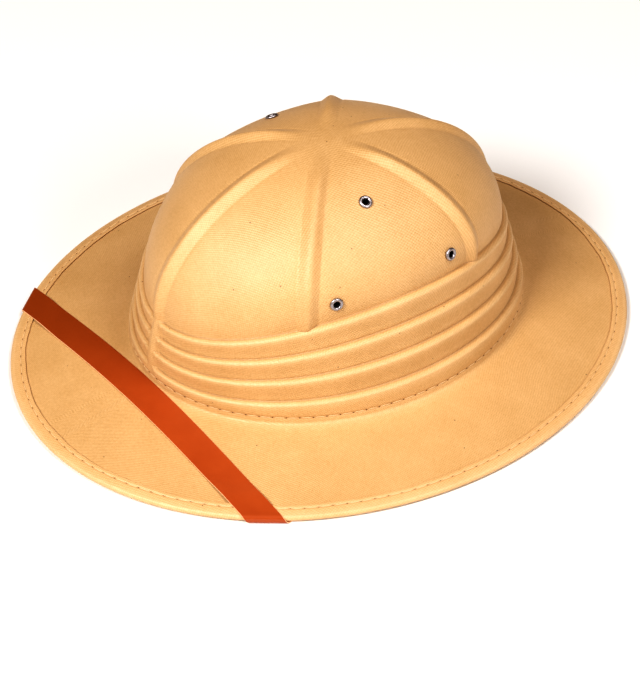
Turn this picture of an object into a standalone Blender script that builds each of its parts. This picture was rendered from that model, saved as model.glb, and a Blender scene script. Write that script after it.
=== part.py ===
# Pith helmet: a moulded, cloth-covered crown and brim with six ribs and a pleated band,
# a bound brim edge, vent eyelets and a chin strap worn over the front of the brim.
# Metres, +Z up, front towards -Y, the wearer's left towards +X.
# Angles around the hat start at the front and grow towards the wearer's left.

import math

import bmesh
import bpy
import numpy as np
from mathutils import Matrix, Vector

# Brim: an ellipse in plan, over its binding, with its whole edge in one level plane
BRIM_LENGTH = 0.319
BRIM_WIDTH = 0.271
BRIM_RISE = 0.0100          # brim edge up to the crown's foot, on the top surface

# Crown: its foot, the top of its pleated band, and its apex
CROWN_LENGTH = 0.207
CROWN_WIDTH = 0.1716
CROWN_SET_BACK = 0.0037     # centre of the foot behind the brim's centre
BAND_TOP_LENGTH = 0.1908
BAND_TOP_WIDTH = 0.1408
BAND_TOP_SET_BACK = 0.0018
BAND_HEIGHT_FRONT = 0.0338
BAND_HEIGHT_SIDE = 0.0524
BAND_HEIGHT_BACK = 0.0381
CROWN_HEIGHT = 0.102        # crown's foot up to the apex
APEX_SET_BACK = 0.0010
PANEL_DIP = 0.0025          # panels inside a round dome, halfway between two ribs
WALL = 0.002                # cloth-covered shell

# Ribs and pleats
RIB_WIDTH = 0.011
RIB_HEIGHT = 0.0023
PLEAT_COUNT = 4
PLEAT_ROLL = 0.0010         # how far a pleat's rounded edge stands out past its face

# Binding of the brim's edge
BINDING_WIDTH = 0.0075
BINDING_WALL = 0.0012

# Chin strap
STRAP_WIDTH = 0.015
STRAP_THICKNESS = 0.0016
STRAP_SLANT = 3.7           # degrees, its left end lies further back
STRAP_SEWN = 75.0           # degrees from the front, where its ends reach the crown's mouth
STRAP_BEND = 0.0025         # radius of its bend up into the crown
STRAP_CLIMB = 0.010         # height of its sewn ends on the crown's inside

# Vent eyelets
EYELET_BORE = 0.0035
EYELET_FLANGE = 0.0070
EYELET_TUBE_WALL = 0.0004
EYELET_DOME = 0.0008        # height of the outer flange
EYELET_BACK = 0.0005        # thickness of the inner flange

CLEARANCE = 0.0003          # between neighbouring pieces
EYELET_SEAT = 0.0004        # flanges off the shell, whose facets lie a little inside its curve

# Six ribs. angle: degrees from the front; reach: share of the band's height that it runs down
RIBS = (
    {"angle": 0.0, "reach": 0.9},
    {"angle": 59.0, "reach": 0.0},
    {"angle": 118.5, "reach": 0.0},
    {"angle": 180.0, "reach": 0.9},
    {"angle": 241.5, "reach": 0.0},
    {"angle": 301.0, "reach": 0.0},
)

# One pleat, top to bottom. down: share of the pleat's height; out: share of the step from one
# pleat to the next; roll: share of PLEAT_ROLL; inner: also a row of the shell's inner side
PLEAT = (
    {"down": 0.00, "out": -0.65, "roll": 0.00, "inner": True},
    {"down": 0.06, "out": -0.15, "roll": 0.75, "inner": False},
    {"down": 0.20, "out": 0.00, "roll": 1.00, "inner": True},
    {"down": 0.60, "out": 0.15, "roll": 0.35, "inner": False},
)

# Rows of the dome, as degrees up from the band's top
DOME_ROWS = (82.0, 70.0, 58.0, 46.0, 34.0, 23.0, 13.0, 6.0)
DOME_FOOT = 25.0            # degrees over which the dome's foot draws in to the top pleat

# Eyelets of one side. around: degrees from the front; up: degrees up the dome
EYELETS = (
    {"name": "top", "around": 86.0, "up": 52.0},
    {"name": "front", "around": 68.0, "up": 10.5},
    {"name": "back", "around": 108.0, "up": 12.5},
)

PANEL_COLUMNS = 6           # mesh columns between two ribs
EYELET_SIDES = 12

# Heights and sizes that follow from the ones above
BINDING_THICKNESS = WALL + 2 * CLEARANCE + 2 * BINDING_WALL
EDGE_Z = STRAP_THICKNESS + CLEARANCE + BINDING_THICKNESS / 2
FOOT_Z = EDGE_Z + WALL / 2 + BRIM_RISE
SHELL_INSET = BINDING_WALL + CLEARANCE


def clear_scene():
    for obj in list(bpy.data.objects):
        bpy.data.objects.remove(obj, do_unlink=True)


def ring(width, length, set_back, theta):
    """Points of an ellipse in plan."""
    return np.stack([width / 2 * np.sin(theta), set_back - length / 2 * np.cos(theta)], -1)


def ring_normal(width, length, theta):
    """Outward normals of the same ellipse."""
    n = np.stack([np.sin(theta) * length, -np.cos(theta) * width], -1)
    return n / np.linalg.norm(n, axis=-1, keepdims=True)


def smooth(x):
    x = np.clip(x, 0.0, 1.0)
    return x * x * (3 - 2 * x)


def band_height(theta):
    """Height of the band, which is lowest at the front and the back."""
    ends = (BAND_HEIGHT_FRONT + BAND_HEIGHT_BACK) / 4
    tilt = (BAND_HEIGHT_FRONT - BAND_HEIGHT_BACK) / 2
    side = BAND_HEIGHT_SIDE / 2
    return ends + side + tilt * np.cos(theta) + (ends - side) * np.cos(2 * theta)


def columns(width, length):
    """Angles of the mesh columns on a ring, with shares of rib, panel and pleat relief for each.

    A rib keeps its width in metres on every ring, and the panels take the rest. Where a rib runs
    down the band, the pleats are smoothed out under it."""
    theta, rib, reach, panel, beside = [], [], [], [], []
    for k, row in enumerate(RIBS):
        nxt = RIBS[(k + 1) % len(RIBS)]
        start = math.radians(row["angle"])
        end = math.radians(nxt["angle"]) + (2 * math.pi if k == len(RIBS) - 1 else 0.0)
        half = []
        for a in (start, end):
            speed = math.hypot(width / 2 * math.cos(a), length / 2 * math.sin(a))
            half.append(min(RIB_WIDTH / 2 / speed, 0.3 * (end - start)))
        inner = np.linspace(start + half[0], end - half[1], PANEL_COLUMNS + 2)
        theta += [start, start + half[0] / 2, *inner, end - half[1] / 2]
        rib += [1.0, 0.5] + [0.0] * (PANEL_COLUMNS + 2) + [0.5]
        near = [row["reach"]] * 2 + [0.0] * (PANEL_COLUMNS + 2) + [nxt["reach"]]
        reach += near
        panel += list((np.array(theta[-len(near):]) - start) / (end - start))
        beside += [0.0, 0.5] + [1.0] * (PANEL_COLUMNS + 2) + [0.5]
    relief = [1.0 if r == 0.0 else b for r, b in zip(reach, beside)]
    return {"theta": np.array(theta), "rib": np.array(rib), "reach": np.array(reach),
            "panel": np.array(panel), "relief": np.array(relief)}


def pleat_step(theta):
    """How far one pleat stands outside the one above it."""
    top = ring(BAND_TOP_WIDTH, BAND_TOP_LENGTH, BAND_TOP_SET_BACK, theta)
    foot = ring(CROWN_WIDTH, CROWN_LENGTH, CROWN_SET_BACK, theta)
    return np.linalg.norm(foot - top, axis=-1) / PLEAT_COUNT


def dome_surface(theta, up, panel=None):
    """Smooth outer surface of the dome, without its ribs: plan points and heights."""
    top = ring(BAND_TOP_WIDTH, BAND_TOP_LENGTH, BAND_TOP_SET_BACK, theta)
    normal = ring_normal(BAND_TOP_WIDTH, BAND_TOP_LENGTH, theta)
    apex = np.array([0.0, APEX_SET_BACK])
    a = math.radians(up)
    plan = apex + (top - apex) * math.cos(a)
    foot = max(0.0, 1 - up / DOME_FOOT) ** 2
    inset = -PLEAT[0]["out"] * pleat_step(theta) * foot
    if panel is not None:
        inset = inset + PANEL_DIP * math.sin(2 * a) * np.sin(math.pi * panel)
    plan = plan - normal * inset[:, None]
    low = FOOT_Z + band_height(theta)
    return plan, low + (FOOT_Z + CROWN_HEIGHT - low) * math.sin(a)


def panel_share(theta):
    """Share of the way from one rib to the next."""
    angles = np.array([math.radians(r["angle"]) for r in RIBS] + [2 * math.pi])
    k = np.clip(np.searchsorted(angles, theta, side="right") - 1, 0, len(RIBS) - 1)
    return (theta - angles[k]) / (angles[k + 1] - angles[k])


def shell_rows():
    """Outer rows of the shell from below the apex to the brim's edge, and its inner rows."""
    outer, inner = [], []
    sink = np.array([0.0, 0.0, -WALL])
    for up in DOME_ROWS:
        a = math.radians(up)
        col = columns(BAND_TOP_WIDTH * math.cos(a), BAND_TOP_LENGTH * math.cos(a))
        theta = col["theta"]
        normal = ring_normal(BAND_TOP_WIDTH, BAND_TOP_LENGTH, theta)
        plan, z = dome_surface(theta, up, col["panel"])
        rib = RIB_HEIGHT * col["rib"] * smooth((math.cos(a) - 0.12) / 0.35)
        plan = plan + normal * (rib * math.cos(a))[:, None]
        row = np.column_stack([plan, z + rib * math.sin(a)])
        outer.append(row)
        inner.append(row + sink - np.column_stack([normal * WALL * math.cos(a), 0 * theta]))
    for pleat in range(PLEAT_COUNT):
        for part in PLEAT:
            down = (pleat + part["down"]) / PLEAT_COUNT
            width = BAND_TOP_WIDTH + (CROWN_WIDTH - BAND_TOP_WIDTH) * down
            length = BAND_TOP_LENGTH + (CROWN_LENGTH - BAND_TOP_LENGTH) * down
            col = columns(width, length)
            theta = col["theta"]
            normal = ring_normal(width, length, theta)
            top = ring(BAND_TOP_WIDTH, BAND_TOP_LENGTH, BAND_TOP_SET_BACK, theta)
            foot = ring(CROWN_WIDTH, CROWN_LENGTH, CROWN_SET_BACK, theta)
            step = pleat_step(theta)
            pleated = (pleat + part["out"]) * step + part["roll"] * PLEAT_ROLL
            plain = (down - (1 - down) * -PLEAT[0]["out"] / PLEAT_COUNT) * step * PLEAT_COUNT
            out = plain + (pleated - plain) * col["relief"]
            rib = RIB_HEIGHT * col["rib"] * smooth((col["reach"] - down) / 0.5)
            direction = (foot - top) / np.linalg.norm(foot - top, axis=-1, keepdims=True)
            plan = top + direction * out[:, None] + normal * rib[:, None]
            z = FOOT_Z + band_height(theta) * (1 - down)
            row = np.column_stack([plan, z])
            outer.append(row)
            if part["inner"]:
                inner.append(row + sink - np.column_stack([normal * WALL, 0 * theta]))
    theta = columns(CROWN_WIDTH, CROWN_LENGTH)["theta"]
    normal = ring_normal(CROWN_WIDTH, CROWN_LENGTH, theta)
    foot = brim_surface(theta, 0.0)
    edge = brim_surface(theta, 1.0)
    outer += [foot, edge]
    inner += [foot + sink - np.column_stack([normal * WALL, 0 * theta]), edge + sink]
    return outer, inner


def brim_axes(share):
    """Width, length and set-back of the brim at a share of the way from the foot to its edge."""
    width = CROWN_WIDTH + (BRIM_WIDTH - 2 * SHELL_INSET - CROWN_WIDTH) * share
    length = CROWN_LENGTH + (BRIM_LENGTH - 2 * SHELL_INSET - CROWN_LENGTH) * share
    return width, length, CROWN_SET_BACK * (1 - share)


def brim_surface(theta, share):
    """Top surface of the brim."""
    share = share + 0 * theta
    width, length, back = brim_axes(share)
    plan = np.stack([width / 2 * np.sin(theta), back - length / 2 * np.cos(theta)], -1)
    return np.column_stack([plan, FOOT_Z - BRIM_RISE * share])


def brim_share(x, y):
    """Share of the way over the brim at a place in plan, found by halving."""
    low, high = np.full_like(x, -0.5), np.full_like(x, 1.5)
    for _ in range(40):
        mid = (low + high) / 2
        width, length, back = brim_axes(mid)
        outside = (2 * x / width) ** 2 + (2 * (y - back) / length) ** 2 > 1
        low, high = np.where(outside, mid, low), np.where(outside, high, mid)
    return (low + high) / 2


def mesh_object(name, points, faces):
    """A closed mesh object from points and faces, with its faces turned outwards."""
    mesh = bpy.data.meshes.new(name)
    bm = bmesh.new()
    verts = [bm.verts.new(p) for p in points]
    for face in faces:
        bm.faces.new([verts[i] for i in face])
    bmesh.ops.recalc_face_normals(bm, faces=bm.faces)
    if bm.calc_volume(signed=True) < 0:
        bmesh.ops.reverse_faces(bm, faces=bm.faces)
    bmesh.ops.triangulate(bm, faces=bm.faces)
    bm.to_mesh(mesh)
    bm.free()
    obj = bpy.data.objects.new(name, mesh)
    bpy.context.scene.collection.objects.link(obj)
    return obj


def loft(rows, closed):
    """Faces between rows of equally many points; each row is a closed ring."""
    n = len(rows[0])
    faces = []
    count = len(rows) if closed else len(rows) - 1
    for i in range(count):
        a, b = i * n, (i + 1) % len(rows) * n
        for j in range(n):
            k = (j + 1) % n
            faces.append((a + j, b + j, b + k, a + k))
    return faces


def build_shell():
    outer, inner = shell_rows()
    rows = outer + inner[::-1]
    points = np.concatenate(rows)
    n = len(outer[0])
    faces = loft(rows, closed=False)
    apex = np.array([0.0, APEX_SET_BACK, FOOT_Z + CROWN_HEIGHT])
    points = np.vstack([points, apex, apex - np.array([0.0, 0.0, WALL])])
    last = (len(rows) - 1) * n
    for j in range(n):
        k = (j + 1) % n
        faces.append((len(points) - 2, j, k))
        faces.append((len(points) - 1, last + k, last + j))
    shell = mesh_object("crown_brim_shell", points, faces)
    for spot in eyelet_spots():
        drill = eyelet_drill("drill_" + spot["name"], spot)
        cut = shell.modifiers.new("drill " + spot["name"], "BOOLEAN")
        cut.operation = "DIFFERENCE"
        cut.solver = "EXACT"
        cut.object = drill
    return shell


def build_binding():
    """The hem: a strip of cloth folded over the brim's edge, its underside flat at its lowest."""
    theta = columns(CROWN_WIDTH, CROWN_LENGTH)["theta"]
    half = BINDING_THICKNESS / 2
    gap = CLEARANCE + BINDING_WALL
    normal = np.column_stack([ring_normal(BRIM_WIDTH, BRIM_LENGTH, theta), 0 * theta])
    lip = ring(BRIM_WIDTH, BRIM_LENGTH, 0.0, theta)
    edge = np.column_stack([lip, np.full_like(theta, EDGE_Z)])
    span = np.linalg.norm(brim_surface(theta, 1.0)[:, :2] - brim_surface(theta, 0.0)[:, :2], axis=1)
    top_end = brim_surface(theta, 1 - (BINDING_WIDTH - SHELL_INSET) / span)
    top_edge = brim_surface(theta, 1.0)
    up = np.array([0.0, 0.0, 1.0])
    bottom_end = top_end - up * WALL
    bottom_edge = top_edge - up * WALL
    rows = [top_end + up * gap]
    for angle in (90, 50, 15, -15, -50, -90):
        a = math.radians(angle)
        rows.append(edge + normal * (half * (math.cos(a) - 1)) + up * half * math.sin(a))
    rows.append(edge - normal * 2 * half * 0.9 - up * half)
    rows.append(bottom_end - up * gap)
    rows.append(bottom_end - up * CLEARANCE)
    rows.append(bottom_edge + normal * CLEARANCE - up * CLEARANCE)
    rows.append(top_edge + normal * CLEARANCE + up * CLEARANCE)
    rows.append(top_end + up * CLEARANCE)
    return mesh_object("brim_binding", np.concatenate(rows), loft(rows, closed=True))


def strap_over(share):
    """1 where the strap lies on the binding, easing to 0 on the bare brim further in."""
    reach = 2 * BINDING_WIDTH / (BRIM_WIDTH - CROWN_WIDTH)
    return smooth((share - 1 + 2.6 * reach) / (1.6 * reach)) * (BINDING_WALL + CLEARANCE)


def strap_rest(place):
    """Height of what lies under the strap: the brim, and near its edge the binding."""
    share = brim_share(place[..., 0], place[..., 1])
    return FOOT_Z - BRIM_RISE * share + strap_over(share)


def strap_under(place):
    """Height of the strap's middle where it lies along the brim's underside."""
    share = brim_share(place[..., 0], place[..., 1])
    flat = 2 * 0.6 * BINDING_THICKNESS / (BRIM_WIDTH - CROWN_WIDTH)
    below = WALL + CLEARANCE + STRAP_THICKNESS / 2 + strap_over(share)
    return FOOT_Z - BRIM_RISE * np.minimum(share + flat, 1.0) - below


def strap_climb(past, low):
    """Inward distance and height of a strap end past the mouth's line, where it turns up.

    low is the height at which it reaches the line; the crown's inside leans in above it."""
    lean = math.atan2((CROWN_WIDTH - BAND_TOP_WIDTH) / 2, BAND_HEIGHT_SIDE)
    rise = math.atan2(2 * BRIM_RISE, BRIM_WIDTH - CROWN_WIDTH)
    turn = math.pi / 2 - lean - rise
    angle = rise + min(past / STRAP_BEND, turn)
    inward = STRAP_BEND * (math.sin(angle) - math.sin(rise))
    up = STRAP_BEND * (math.cos(rise) - math.cos(angle))
    straight = past - STRAP_BEND * turn
    if straight > 0:
        inward += straight * math.sin(lean)
        up += straight * math.cos(lean)
    return inward, low + up


def strap_side(side):
    """Rails of half of the strap, from the middle of the brim's front to a sewn end.

    side is 1 for the wearer's left and -1 for the right. On top the strap lies on the brim.
    It rolls round the brim's edge about a line that touches that edge and halves the angle
    between its way out and its way back to the sewn end. It lies along the underside to the
    crown's mouth, bends up about a line that touches the mouth, and ends on the crown's inside."""
    slant = math.radians(STRAP_SLANT)
    along = side * np.array([math.cos(slant), math.sin(slant)])
    across = np.array([-math.sin(slant), math.cos(slant)])
    front = CROWN_SET_BACK - CROWN_LENGTH / 2
    middle = np.array([0.0, front - 2 * CLEARANCE - STRAP_WIDTH / 2 / math.cos(slant)])
    size = np.array([BRIM_WIDTH, BRIM_LENGTH]) / 2
    centre = np.array([0.0, CROWN_SET_BACK])
    mouth = np.array([CROWN_WIDTH, CROWN_LENGTH]) / 2 - WALL - 2 * CLEARANCE - STRAP_THICKNESS / 2
    sewn = math.radians(STRAP_SEWN)
    target = centre + mouth * np.array([side * math.sin(sewn), -math.cos(sewn)])
    low = EDGE_Z - BINDING_THICKNESS / 2 - CLEARANCE - STRAP_THICKNESS / 2
    normal = along
    for _ in range(30):
        edge = np.array([-normal[1], normal[0]])
        roll = size ** 2 * normal / np.linalg.norm(size * normal) - normal * BINDING_THICKNESS / 2
        round_edge = math.pi * (EDGE_Z - low) / (along @ normal)
        leaves = middle + along * ((roll - middle) @ normal / (along @ normal) + round_edge)
        back = target - roll - edge * ((leaves - roll) @ edge)
        normal = along - back / np.linalg.norm(back)
        normal /= np.linalg.norm(normal)
    lean = (across @ normal) / (along @ normal)
    to_roll = (roll - middle) @ normal / (along @ normal)
    widths = np.array([-STRAP_WIDTH / 2, STRAP_WIDTH / 2])
    starts = middle + np.outer(to_roll - widths * lean, along) + np.outer(widths, across)
    high = strap_rest(starts)
    top = high.max() + CLEARANCE + STRAP_THICKNESS / 2
    radius, axis_z = (top - low) / 2, (top + low) / 2
    rails = []
    # On top, where the cross lines turn from square to lying along the edge
    for s in np.linspace(0.0, 1.0, 12)[:-1]:
        out = s * to_roll - widths * lean * s * s
        place = middle + np.outer(out, along) + np.outer(widths, across)
        rails.append(np.column_stack([place, top + strap_rest(place) - high]))
    # Round the edge
    for phi in np.linspace(0.0, math.pi, 10):
        level = (starts + np.outer([phi * radius / (along @ normal)] * 2, along) - roll) @ edge
        plan = roll + np.outer(level, edge) + normal * radius * math.sin(phi)
        rails.append(np.column_stack([plan, [axis_z + radius * math.cos(phi)] * 2]))
    # Underneath to the mouth: the cross lines turn from the edge's line to the mouth's
    begin = rails[-1][:, :2]
    away = along - 2 * (along @ normal) * normal
    beside = across - 2 * (across @ normal) * normal
    origin = begin.mean(axis=0)
    crossing = origin + away * line_to_ellipse(origin - centre, away, mouth, first=True)
    inwards = -(crossing - centre) / mouth ** 2
    inwards /= np.linalg.norm(inwards)
    tangent = np.array([-inwards[1], inwards[0]])
    curve = (inwards @ (mouth ** 2 * inwards)) ** 1.5 / (mouth[0] * mouth[1]) ** 2
    to_mouth = (crossing - origin) @ away
    mouth_lean = (beside @ inwards) / (away @ inwards)
    end = to_mouth + STRAP_CLIMB / (away @ inwards)
    start_s = (begin - origin) @ away
    final_s = end - widths * mouth_lean
    for t in np.linspace(0.0, 1.0, 30)[1:]:
        run = start_s + (final_s - start_s) * t
        pair = []
        for w, s in zip(widths, run):
            place = origin + away * s + beside * w
            past = (place - crossing) @ inwards
            c = (place - crossing) @ tangent
            wall = c * c / 2 * curve * smooth(1 + past / (2 * STRAP_WIDTH))
            if past <= 0:
                pair.append([*(place + inwards * wall), max(low, strap_under(place))])
            else:
                inward, z = strap_climb(past, strap_under(crossing))
                pair.append([*(crossing + tangent * c + inwards * (wall + inward)), z])
        rails.append(np.array(pair))
    return np.array(rails)


def line_to_ellipse(start, direction, size, first=False):
    """Distance along a line in plan to an ellipse about the origin, of the given half axes.

    That is the way out of it from inside, or with first the way to it from outside."""
    p, q = start / size, direction / size
    root = math.sqrt((p @ q) ** 2 - q @ q * (p @ p - 1))
    return (-p @ q + (-root if first else root)) / (q @ q)


def build_strap():
    right, left = strap_side(-1), strap_side(1)
    rails = np.concatenate([right[:0:-1], left])
    rear, front = rails[:, 1], rails[:, 0]
    path = (rear + front) / 2
    along = np.gradient(path, axis=0)
    normal = np.cross(along, rear - front)
    normal /= np.linalg.norm(normal, axis=1, keepdims=True)
    half = normal * STRAP_THICKNESS / 2
    rings = [np.array(ring4) for ring4 in zip(front - half, rear - half, rear + half, front + half)]
    faces = loft(rings, closed=False)
    last = 4 * (len(rings) - 1)
    faces += [(0, 1, 2, 3), (last, last + 1, last + 2, last + 3)]
    return mesh_object("chin_strap", np.concatenate(rings), faces)


def eyelet_spots():
    """Place and outward direction of each eyelet on the shell."""
    spots = []
    for side, label in ((1, "left"), (-1, "right")):
        for row in EYELETS:
            around = np.radians([row["around"], row["around"] + 0.5])
            here, z = dome_surface(around, row["up"], panel_share(around))
            above, z_above = dome_surface(around, row["up"] + 0.5, panel_share(around))
            place = Vector((*here[0], z[0]))
            to_side = Vector((*here[1], z[1])) - place
            to_top = Vector((*above[0], z_above[0])) - place
            out = to_side.cross(to_top).normalized()
            up = math.radians(row["up"])
            spots.append({"name": label + "_" + row["name"],
                          "wall": WALL * (math.cos(up) ** 2 + math.sin(up)),
                          "place": Vector((side * place.x, place.y, place.z)),
                          "out": Vector((side * out.x, out.y, out.z))})
    return spots


def turned(profile, spot, sides):
    """Rings of points turned from a profile of (radius, height) about an eyelet's axis."""
    frame = Matrix.Translation(spot["place"]) @ spot["out"].to_track_quat("Z", "Y").to_matrix().to_4x4()
    rows = []
    for radius, height in profile:
        rows.append([frame @ Vector((radius * math.cos(2 * math.pi * i / sides),
                                     radius * math.sin(2 * math.pi * i / sides), height))
                     for i in range(sides)])
    return rows


def eyelet_drill(name, spot):
    """Drill for an eyelet's tube, a clearance wider than the tube."""
    radius = EYELET_BORE / 2 + EYELET_TUBE_WALL + CLEARANCE
    rows = turned(((radius, 2 * WALL), (radius, -3 * WALL)), spot, EYELET_SIDES)
    n = len(rows[0])
    faces = loft(rows, closed=False) + [tuple(range(n)), tuple(range(n, 2 * n))]
    cutter = mesh_object(name, [p for row in rows for p in row], faces)
    cutter.hide_render = True
    cutter.display_type = "WIRE"
    return cutter


def build_eyelet(spot):
    """Tube through the shell with a domed flange outside and a flat one inside."""
    bore, tube = EYELET_BORE / 2, EYELET_BORE / 2 + EYELET_TUBE_WALL
    flange = EYELET_FLANGE / 2
    face, back = EYELET_SEAT, -spot["wall"] - 2.5 * EYELET_SEAT
    profile = (
        (bore, face + EYELET_DOME * 0.7), ((bore + flange) / 2, face + EYELET_DOME),
        (flange * 0.94, face + EYELET_DOME * 0.6), (flange, face), (tube, face),
        (tube, back), (flange * 0.9, back), (flange * 0.9, back - EYELET_BACK),
        (bore, back - EYELET_BACK),
    )
    rows = turned(profile, spot, EYELET_SIDES)
    return mesh_object("eyelet_" + spot["name"], [p for row in rows for p in row],
                       loft(rows, closed=True))


def give_material(obj, name, colour, roughness, metallic):
    material = bpy.data.materials.get(name) or bpy.data.materials.new(name)
    material.use_nodes = True
    shader = material.node_tree.nodes["Principled BSDF"]
    shader.inputs["Base Color"].default_value = (*colour, 1.0)
    shader.inputs["Roughness"].default_value = roughness
    shader.inputs["Metallic"].default_value = metallic
    obj.data.materials.append(material)
    obj.data.shade_smooth()
    obj.data.set_sharp_from_angle(angle=math.radians(35))


def main():
    clear_scene()
    give_material(build_shell(), "tan twill", (0.80, 0.47, 0.20), 0.85, 0.0)
    give_material(build_binding(), "tan twill hem", (0.82, 0.50, 0.23), 0.85, 0.0)
    give_material(build_strap(), "red-brown leather", (0.46, 0.075, 0.015), 0.35, 0.0)
    for spot in eyelet_spots():
        give_material(build_eyelet(spot), "nickel", (0.62, 0.60, 0.57), 0.25, 1.0)


main()
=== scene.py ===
import math

import bpy
import numpy as np
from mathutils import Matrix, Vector


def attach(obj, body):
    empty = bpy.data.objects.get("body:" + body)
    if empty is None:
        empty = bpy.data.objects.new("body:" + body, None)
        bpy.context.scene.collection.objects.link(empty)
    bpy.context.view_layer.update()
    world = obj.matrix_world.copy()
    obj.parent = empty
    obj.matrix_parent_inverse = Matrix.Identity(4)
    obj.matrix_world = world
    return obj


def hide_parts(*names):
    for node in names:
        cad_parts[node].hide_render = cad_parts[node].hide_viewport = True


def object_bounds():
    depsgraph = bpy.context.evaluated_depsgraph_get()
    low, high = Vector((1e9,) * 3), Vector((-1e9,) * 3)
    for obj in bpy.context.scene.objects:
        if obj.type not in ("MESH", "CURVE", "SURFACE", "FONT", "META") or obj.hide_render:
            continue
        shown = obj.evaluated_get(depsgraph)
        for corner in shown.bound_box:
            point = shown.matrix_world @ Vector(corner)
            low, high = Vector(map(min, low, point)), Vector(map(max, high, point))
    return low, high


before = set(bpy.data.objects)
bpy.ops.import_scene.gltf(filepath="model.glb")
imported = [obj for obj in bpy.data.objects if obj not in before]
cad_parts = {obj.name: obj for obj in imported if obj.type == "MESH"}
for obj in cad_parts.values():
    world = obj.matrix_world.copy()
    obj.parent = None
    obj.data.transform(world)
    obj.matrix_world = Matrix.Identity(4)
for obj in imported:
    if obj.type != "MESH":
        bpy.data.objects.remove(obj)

scene = bpy.context.scene
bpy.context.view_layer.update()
print("frame loaded:", len(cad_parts), "nodes")

# Everything is in metres. Angles around the hat start at its front (-Y) and grow towards the wearer's left

brim = {
    "length": 0.319,
    "width": 0.271,
    "rise": 0.0100,  # brim edge up to the crown's foot
    "inset": 0.0015,  # shell's edge inside the binding's outer face
}
crown = {
    "length": 0.207, "width": 0.1716, "setBack": 0.0037,  # its foot
    "topLength": 0.1908, "topWidth": 0.1408, "topSetBack": 0.0018,  # top of the pleated band
    "bandFront": 0.0338, "bandSide": 0.0524, "bandBack": 0.0381,  # height of the band
    "height": 0.102, "apexSetBack": 0.0010,
    "panelDip": 0.0025,  # panels inside a round dome, halfway between two ribs
    "wall": 0.0016,
    "wallFullAt": 0.067,  # height at which the wall's inner side is shifted wholly inwards
    "wallFade": 0.052,  # how far above and below that the shift inwards fades away
    "edgeZ": 0.0046,  # middle of the brim's edge
    "footZ": 0.0154,  # crown's foot
}
ribs = {
    "angles": (0.0, 59.0, 118.5, 180.0, 241.5, 301.0),
    "downBand": (True, False, False, True, False, False),  # front and back ribs run on down the band
    "width": 0.0108,
    "height": 0.0021,
    "crease": (0.00022, 1.04, 0.10),  # beside a rib: its depth, and its place and width in half ribs
    "foot": 0.7,  # how far a side rib's foot reaches over the first ledge
    "footUp": 11,  # degrees up the dome over which that foot tapers off
    "apexFade": (0.10, 0.34),  # cosine of the angle up at which ribs begin, and over which they grow
    "bandSpread": 0.2,  # how much wider a rib gets down the band
    "bandClear": (0.35, 0.5),  # half ribs from its middle at which pleats begin, and over which they grow
    "bandKeep": (0.97, 0.22),  # share down the band at which it stops smoothing pleats, and the fade to it
    "bandFade": (0.95, 0.5),  # share down the band at which its height is gone, and the fade to it
}
everyRib = (True,) * len(ribs["angles"])
sideRibs = [not down for down in ribs["downBand"]]
pleats = {
    "count": 4,
    "ledge": 0.66,  # share of the step that lies flat, under the fold above
    "ledgeUp": 25,  # degrees up the dome over which the topmost ledge runs out
    "round": 0.18,  # share of a pleat's height taken by its rounded shoulder
    "square": 0.72,  # 1 makes the shoulder a quarter oval, less a flat ledge with a tighter bend
    "roll": 0.0010,  # how far the shoulder stands out past the face
    "faceSlope": 0.34,
    "lastSlope": 0.74,
    "fillet": 0.14,  # share of the last face that curves out to the brim
    "groove": 0.00028,  # pressed line where a face meets the next ledge
    "grooveReach": (0.1, 0.25),  # share of the face, and of the next shoulder's stand, that it takes
    "line": (0.36, 0.05, 0.005),  # painted shade in that line: how dark, and its shares of the face and the next shoulder
    "worn": (0.14, 0.11, 0.12),  # painted highlight: how pale the shoulder is, and where, as shares of a pleat
}
seam = {
    "bandHeight": 0.0035,  # seam above the crown's foot
    "bandPitch": 0.0064,
    "hemPitch": 0.0066,
    "thread": 0.00015,  # radius
    "threadColour": "#ebd0a6",
    "hole": 0.00036,  # radius
    # painted shade inside each needle hole
    "holeShadeColour": "#6a4a2e",
    "groove": 0.0003,  # how deep the band's seam pulls in
    "grooveWidth": 0.0007,
    "shade": 0.3,  # painted shade along the band's seam
    "shadeWidth": 0.0005,
}
shellMesh = {
    "domeRows": 70,
    "shoulderRows": 10,
    "faceRows": 7,
    "lowRows": (0.9, 0.94, 0.97),  # a face's last rows, by its pressed line
    "seamRows": 30,
    "brimRows": 14,
    "ribColumns": 20,
    "ribReach": 0.68,  # how far the close columns reach, as a share of the rib's width
    "panelColumns": 38,
}


def linearColour(hexValue):
    # sRGB hex to linear RGBA
    parts = np.array([int(hexValue[i:i + 2], 16) / 255 for i in (1, 3, 5)])
    linear = np.where(parts <= 0.04045, parts / 12.92, ((parts + 0.055) / 1.055) ** 2.4)
    return (*linear.tolist(), 1.0)


def addNode(tree, kind, settings=None, **inputs):
    # Adds one node; each input, named or i and its place, is a value or an output socket to link from
    node = tree.nodes.new("ShaderNode" + kind)
    for name, value in (settings or {}).items():
        setattr(node, name, value)
    for name, value in inputs.items():
        socket = node.inputs[int(name[1:]) if name[1:].isdigit() else name.replace("_", " ")]
        if isinstance(value, bpy.types.NodeSocket):
            tree.links.new(value, socket)
        else:
            socket.default_value = value
    return node


def smooth(x):
    # 0 to 1 with level ends
    x = np.clip(x, 0.0, 1.0)
    return x * x * (3 - 2 * x)


def unit(vectors):
    return vectors / np.linalg.norm(vectors, axis=-1, keepdims=True)


def fullTurn(count):
    return np.linspace(0, 2 * math.pi, count, endpoint=False)


def withHeight(plan, z):
    return np.concatenate([plan, z[..., None]], -1)


def oval(width, length, setBack, theta):
    # x = width/2 times the sine, y = set-back less length/2 times the cosine
    return np.stack([width / 2 * np.sin(theta), setBack - length / 2 * np.cos(theta)], -1)


def ovalNormal(width, length, theta):
    # Outward unit normal of the same oval
    return unit(np.stack([np.sin(theta) * length, -np.cos(theta) * width], -1))


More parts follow.
